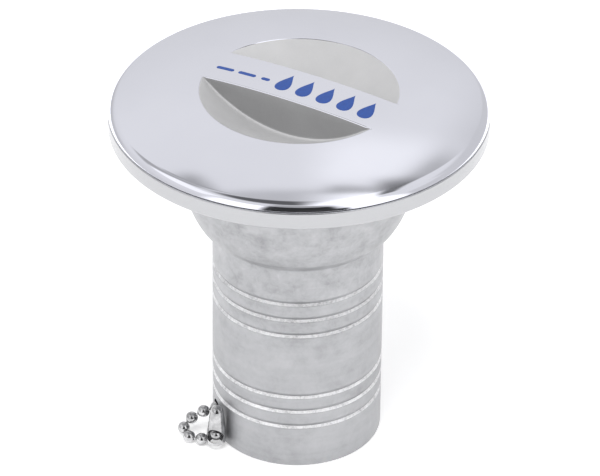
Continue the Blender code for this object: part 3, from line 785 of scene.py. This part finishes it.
prof += [(BOSS_R + 0.1, 79.9), (BOSS_R, 79.5), (BOSS_R, BOSS_BOTTOM + 0.4), (BOSS_R - 0.12, BOSS_BOTTOM + 0.12),
         (BOSS_R - 0.4, BOSS_BOTTOM), (2.55, BOSS_BOTTOM), (2.35, BOSS_BOTTOM + 0.2), (2.35, 80.9), (0.0, 80.9)]


def outside_thread(theta, r, z):
    if abs(r - MALE_ROOT_R) < 1e-6 and SPIGOT_BOTTOM + 0.52 < z < 84.1:
        return thread_shape(theta, z, MALE_Z0, MALE_TURNS, MALE_CREST_R, MALE_ROOT_R, CREST_HALF)
    return r


ring_verts, ring_faces, rings = lathe(prof, TOP_SEG, radius=outside_thread, first=len(cap_verts))
turned_by = BAR_ANGLE
spin = [(math.cos(2 * math.pi * k / TOP_SEG), math.sin(2 * math.pi * k / TOP_SEG)) for k in range(TOP_SEG)]
order = {}
for i, s in enumerate(source):
    if s < TOP_SEG:
        order[s] = i
# the first ring of the turned part meets the patch's own edge, which is turned with the bar
shift = int(round(BAR_ANGLE / (2 * math.pi) * TOP_SEG))
edge = [order[(k - shift) % TOP_SEG] for k in range(TOP_SEG)]
for k in range(TOP_SEG):
    j = (k + 1) % TOP_SEG
    ring_faces.append((edge[k], rings[0][k], rings[0][j], edge[j]))
base = len(cap_verts)
cap_verts += ring_verts
for i, (r, z) in enumerate(prof):
    slope = 2 * DOME_A * r + 4 * DOME_B * r ** 3
    if n_top <= i < n_roll:
        slope = math.tan(math.radians(roll[i - n_top]))
    for k in range(1 if r < 1e-6 else TOP_SEG):
        if i < n_roll:
            m = Vector((slope * spin[k][0], slope * spin[k][1], 1.0)).normalized()
            cap_normals.append(tuple(m))
        else:
            cap_normals.append((0.0, 0.0, 0.0))
cap_faces += ring_faces
cap_index += [0] * len(ring_faces)
# every face is turned outward as one closed shell
bm = bmesh.new()
bv = [bm.verts.new(Vector(v) * MM) for v in cap_verts]
for f, m in zip(cap_faces, cap_index):
    face = bm.faces.new([bv[i] for i in f])
    face.material_index = m
    face.smooth = True
bm.verts.ensure_lookup_table()
bmesh.ops.recalc_face_normals(bm, faces=bm.faces)
me = bpy.data.meshes.new("cap_polished")
bm.to_mesh(me)
bm.free()
for m in (MAT_POLISHED, MAT_DISH, MAT_WALL_SHADE):
    me.materials.append(m)
me.set_sharp_from_angle(angle=math.radians(50.0))
me.normals_split_custom_set_from_vertices(cap_normals)
cap = bpy.data.objects.new("cap_polished", me)
bpy.context.scene.collection.objects.link(cap)

# ------------------------------------------------------------------ plain blue mark on the grip bar
mark_v, mark_f = [], []


def draped(outline, centre, rings_n=4):
    """A thin enamelled patch laid on the bar: outline points (u, v) about a centre."""
    n = len(outline)
    base = len(mark_v)
    cu, cv = centre

    def lift(u, v, up):
        x, y = u * ca - v * sa, u * sa + v * ca
        return (x, y, float(dome(math.hypot(u, v))) + up)

    levels = [(1.0, -0.02), (1.0, 0.020), (0.965, 0.035)] + [(1.0 - k / rings_n, 0.035) for k in range(1, rings_n)]
    for s, up in levels:
        mark_v.extend(lift(cu + (u - cu) * s, cv + (v - cv) * s, up) for u, v in outline)
    tip = len(mark_v)
    mark_v.append(lift(cu, cv, 0.035))
    low = len(mark_v)
    mark_v.append(lift(cu, cv, -0.02))
    for a in range(len(levels) - 1):
        for k in range(n):
            j = (k + 1) % n
            mark_f.append((base + a * n + k, base + a * n + j, base + (a + 1) * n + j, base + (a + 1) * n + k))
    a = len(levels) - 1
    for k in range(n):
        j = (k + 1) % n
        mark_f.append((base + a * n + k, base + a * n + j, tip))
        mark_f.append((base + j, base + k, low))


def drop(cu, cv, size):
    """Water-drop outline, point toward the far side."""
    out = []
    for k in range(48):
        t = 2.0 * math.pi * k / 48
        w = math.sin(t) * math.sin(t / 2.0) ** 1.7
        out.append((cu + 0.36 * size * w, cv + 0.5 * size * math.cos(t)))
    return out


def stadium(cu, cv, length, width, lean_by=0.0):
    out = []
    h, r = (length - width) / 2.0, width / 2.0
    for k in range(13):
        t = -math.pi / 2 + math.pi * k / 12
        out.append((h + r * math.cos(t), r * math.sin(t)))
    for k in range(13):
        t = math.pi / 2 + math.pi * k / 12
        out.append((-h + r * math.cos(t), r * math.sin(t)))
    c, s = math.cos(lean_by), math.sin(lean_by)
    return [(cu + u * c - v * s, cv + u * s + v * c) for u, v in out]


for cu in (-3.4, 2.0, 7.4, 12.8, 18.2):
    draped(drop(cu, -0.1, 7.2), (cu, -1.0))
for cu in (-19.0, -13.2):
    draped(stadium(cu, -1.1, 4.6, 1.1), (cu, -1.1))
draped(stadium(-8.3, -1.1, 2.2, 1.1), (-8.3, -1.1))
mark = new_mesh("grip_mark", mark_v, mark_f, [MAT_BLUE], 60.0)

# ------------------------------------------------------------------ seal and swivel pieces
ring_prof = [(ORING_R + ORING_D / 2 * math.cos(t), ORING_Z + ORING_D / 2 * math.sin(t))
             for t in (2 * math.pi * i / 28 for i in range(28))]
verts, faces, _ = lathe(ring_prof, 168, closed=True)
seal = new_mesh("seal_ring", verts, faces, [MAT_RUBBER], 60.0)

rivet_prof = [(0.0, 80.6), (1.7, 80.6), (1.9, 80.5), (2.0, 80.3), (2.0, 77.0), (2.0, 74.45), (2.1, 74.32), (3.4, 74.3),
              (3.55, 74.22), (3.6, 74.05), (3.58, 73.8), (3.42, 73.5), (3.1, 73.2), (2.6, 72.98), (2.0, 72.84),
              (1.2, 72.74), (0.6, 72.71), (0.0, 72.7)]
verts, faces, _ = lathe(rivet_prof, 64)
rivet = new_mesh("rivet_turned", verts, faces, [MAT_RIVET], 50.0)
wash_prof = [(2.4, 77.25), (2.45, 77.3), (4.35, 77.3), (4.47, 77.25), (4.5, 77.12), (4.5, 76.68), (4.47, 76.55),
             (4.35, 76.5), (2.45, 76.5), (2.4, 76.55)]
verts, faces, _ = lathe(wash_prof, 64, closed=True)
washer = new_mesh("washer_turned", verts, faces, [MAT_WASHER], 50.0)
end_data = ([], [])
ball_z = 67.2 + 0.3 + BALL_D / 2
add_turned(end_data, bead_profile(BALL_D / 2), 32, Matrix.Translation((0, 0, ball_z)))
add_turned(end_data, ROD, 12, Matrix.Translation((0, 0, 66.6)) @ Matrix.Diagonal((1, 1, 2.3, 1)))
end_ball = new_mesh("end_ball", end_data[0], end_data[1], [MAT_BALL], 40.0)

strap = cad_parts["swivel_strap"]

# ------------------------------------------------------------------ what each piece rides on and stands for
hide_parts("filler_body")
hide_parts("cap")
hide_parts("cap_o_ring")
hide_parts("swivel_rivet")
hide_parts("swivel_washer")
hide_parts("chain_end_ball")
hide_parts("retaining_chain")
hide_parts("chain_connector")
for ob, name in ((body, "filler"), (coupling, "filler"), (held_ball, "filler"), (cap, "cap_body"), (mark, "cap_body"),
                 (seal, "cap_body"), (rivet, "cap_body"), (washer, "cap_body"), (end_ball, "swivel")):
    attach(ob, name)
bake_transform(chain)

# the strap keeps its CAD mesh, with rounded edges and its own steel
strap.data.materials.clear()
strap.data.materials.append(MAT_STRAP)
soft = strap.modifiers.new("edges", "BEVEL")
soft.width, soft.segments, soft.limit_method, soft.angle_limit = 0.00018, 3, "ANGLE", math.radians(40)

# ------------------------------------------------------------------ floor and light
floor_nodes = Nodes("floor_look")
paper = floor_nodes.noise(3.0, detail=3.0)
floor_nodes.set(Base_Color=floor_nodes.ramp(paper, [(0.3, (0.93, 0.93, 0.93)), (0.7, (0.955, 0.955, 0.955))]),
                Roughness=0.85)
floor_nodes.bsdf.inputs["Specular IOR Level"].default_value = 0.1
floor_nodes.bsdf.inputs["Emission Color"].default_value = (1.0, 1.0, 1.0, 1.0)
floor_nodes.bsdf.inputs["Emission Strength"].default_value = 0.34
bm = bmesh.new()
bmesh.ops.create_grid(bm, x_segments=8, y_segments=8, size=9.0)
me = bpy.data.meshes.new("floor")
bm.to_mesh(me)
bm.free()
me.materials.append(floor_nodes.mat)
floor = bpy.data.objects.new("floor", me)
bpy.context.scene.collection.objects.link(floor)


world = bpy.data.worlds.new("studio")
bpy.context.scene.world = world
world.use_nodes = True
wt = world.node_tree
wt.nodes.clear()
w_out = wt.nodes.new("ShaderNodeOutputWorld")


def wn(kind, **values):
    n = wt.nodes.new("ShaderNode" + kind)
    for k, v in values.items():
        setattr(n, k, v)
    return n


def wm(op, a, b=None, c=None):
    n = wn("Math", operation=op)
    for i, x in enumerate((a, b, c)):
        if x is None:
            continue
        if isinstance(x, (int, float)):
            n.inputs[i].default_value = x
        else:
            wt.links.new(x, n.inputs[i])
    return n.outputs[0]


def wrange(x, lo, hi, a=0.0, b=1.0):
    n = wn("MapRange", interpolation_type="SMOOTHSTEP")
    for key, val in zip(("From Min", "From Max", "To Min", "To Max"), (lo, hi, a, b)):
        n.inputs[key].default_value = val
    wt.links.new(x, n.inputs["Value"])
    return n.outputs["Result"]


coords = wn("TexCoord")
sep = wn("SeparateXYZ")
wt.links.new(coords.outputs["Generated"], sep.inputs[0])
dx, dy, dz = sep.outputs
elev = wm("DEGREES", wm("ARCSINE", dz))
azim = wm("DEGREES", wm("ARCTAN2", dx, wm("MULTIPLY", dy, -1.0)))      # 0 toward the camera side, + to the right
side_deg = wm("ABSOLUTE", azim)


def between(x, a, b, soft=4.0):
    return wm("MULTIPLY", wrange(x, a - soft, a + soft), wrange(x, b - soft, b + soft, 1.0, 0.0))


def mul(*xs):
    out = xs[0]
    for x in xs[1:]:
        out = wm("MULTIPLY", out, x)
    return out


def blend_to(now, value, mask):
    """now where mask is 0, value where mask is 1."""
    return wm("ADD", wm("MULTIPLY", now, wm("SUBTRACT", 1.0, mask)), wm("MULTIPLY", mask, value))


# soft tent behind and beside the part, a little weaker on the right
front = wm("MULTIPLY", dy, -1.0)
level = wrange(elev, 0.0, 40.0, 0.71, 0.82)
level = blend_to(level, 0.66, mul(between(azim, 60.0, 161.0, 6.0), wrange(elev, 34.0, 46.0, 1.0, 0.0)))
level = blend_to(level, 0.50, mul(between(azim, 151.0, 160.5, 3.0), between(elev, 43.0, 60.0, 4.0)))
level = blend_to(level, 0.99, mul(wrange(azim, 159.0, 166.0), wrange(azim, 173.0, 181.0, 1.0, 0.0), between(elev, 41.0, 54.5, 4.0)))
level = blend_to(level, 0.58, mul(between(azim, -160.0, -116.0, 8.0), wrange(elev, 6.0, 20.0, 1.0, 0.0)))
# grey flags on the left
level = blend_to(level, 0.43, mul(between(azim, -162.0, -137.0, 3.0), between(elev, 50.5, 64.0, 2.0)))
level = blend_to(level, 0.44, mul(between(azim, -135.0, -108.0, 3.0), between(elev, 37.0, 64.0, 3.0)))
# open gap behind the ceiling panel
level = blend_to(level, 0.56, mul(between(elev, 57.5, 70.0, 1.5), wrange(side_deg, 150.0, 166.0)))
level = blend_to(level, 0.42, mul(between(elev, 55.5, 59.3, 1.3), between(azim, 158.0, 174.0, 3.0)))
# dark ceiling panel
oval = wm("SQRT", wm("ADD", wm("POWER", wm("DIVIDE", dx, 0.43), 2.0), wm("POWER", wm("DIVIDE", front, 0.37), 2.0)))
level = blend_to(level, 0.12, wrange(oval, 0.70, 1.12, 1.0, 0.0))
# grey strip between the panel and the dark front
level = blend_to(level, 0.40, mul(between(side_deg, -30.0, 22.0, 6.0), between(elev, 52.0, 66.0, 3.0)))
# softboxes left and right of the dark front
level = blend_to(level, 1.12, mul(between(azim, -112.0, -62.0, 5.0), between(elev, 38.0, 57.0, 3.0)))
level = blend_to(level, 0.80, mul(between(azim, -56.0, -22.0, 5.0), between(elev, 44.0, 60.0, 4.0)))
level = blend_to(level, 1.35, mul(between(azim, -54.0, -20.0, 5.0), between(elev, 9.0, 47.0, 4.0)))
level = blend_to(level, 1.35, mul(between(azim, 28.0, 64.0, 4.0), between(elev, 4.0, 75.0, 4.0)))
level = blend_to(level, 0.80, mul(between(azim, 64.0, 96.0, 5.0), between(elev, 28.0, 60.0, 4.0)))
# long overhead box, front to back on the right, with a dark gap beyond it
slant = wm("SUBTRACT", dx, wm("MULTIPLY", front, 0.45))
level = blend_to(level, 0.17, mul(between(slant, 0.41, 0.515, 0.03), between(front, -0.58, 0.0, 0.03)))
level = blend_to(level, 1.30, mul(wrange(dx, -0.03, 0.16), wrange(slant, 0.375, 0.43, 1.0, 0.0), wrange(front, -0.527, -0.511),
                                 wrange(front, 0.34, 0.50, 1.0, 0.0)))
level = blend_to(level, 0.035, mul(between(azim, -21.0, 23.0, 3.0), between(elev, -8.0, 51.0, 3.0)))
level = blend_to(level, 0.05, mul(between(azim, 0.0, 29.0, 2.5), between(elev, -8.0, 27.0, 3.0)))
bg = wn("Background")
bg.inputs["Color"].default_value = (0.985, 0.985, 1.0, 1.0)
wt.links.new(level, bg.inputs["Strength"])
plain = wn("Background")
plain.inputs["Color"].default_value = (1.0, 1.0, 1.0, 1.0)
plain.inputs["Strength"].default_value = 1.0
path = wn("LightPath")
mix = wn("MixShader")
wt.links.new(path.outputs["Is Camera Ray"], mix.inputs[0])
wt.links.new(bg.outputs[0], mix.inputs[1])
wt.links.new(plain.outputs[0], mix.inputs[2])
wt.links.new(mix.outputs[0], w_out.inputs["Surface"])

sky = bpy.data.lights.new("sky_sheet", "SUN")
sky.energy = 1.6
sky.angle = math.radians(30.0)
sky_ob = bpy.data.objects.new("sky_sheet", sky)
sky_ob.matrix_world = Matrix.Rotation(math.radians(24.0), 4, "X") @ Matrix.Rotation(math.radians(-5.0), 4, "Y")
sky_ob.visible_glossy = False
bpy.context.scene.collection.objects.link(sky_ob)

scene = bpy.context.scene
scene.view_settings.view_transform = "Standard"
scene.view_settings.look = "None"
scene.view_settings.exposure = 0.0
scene.view_settings.gamma = 1.0

bpy.context.view_layer.update()
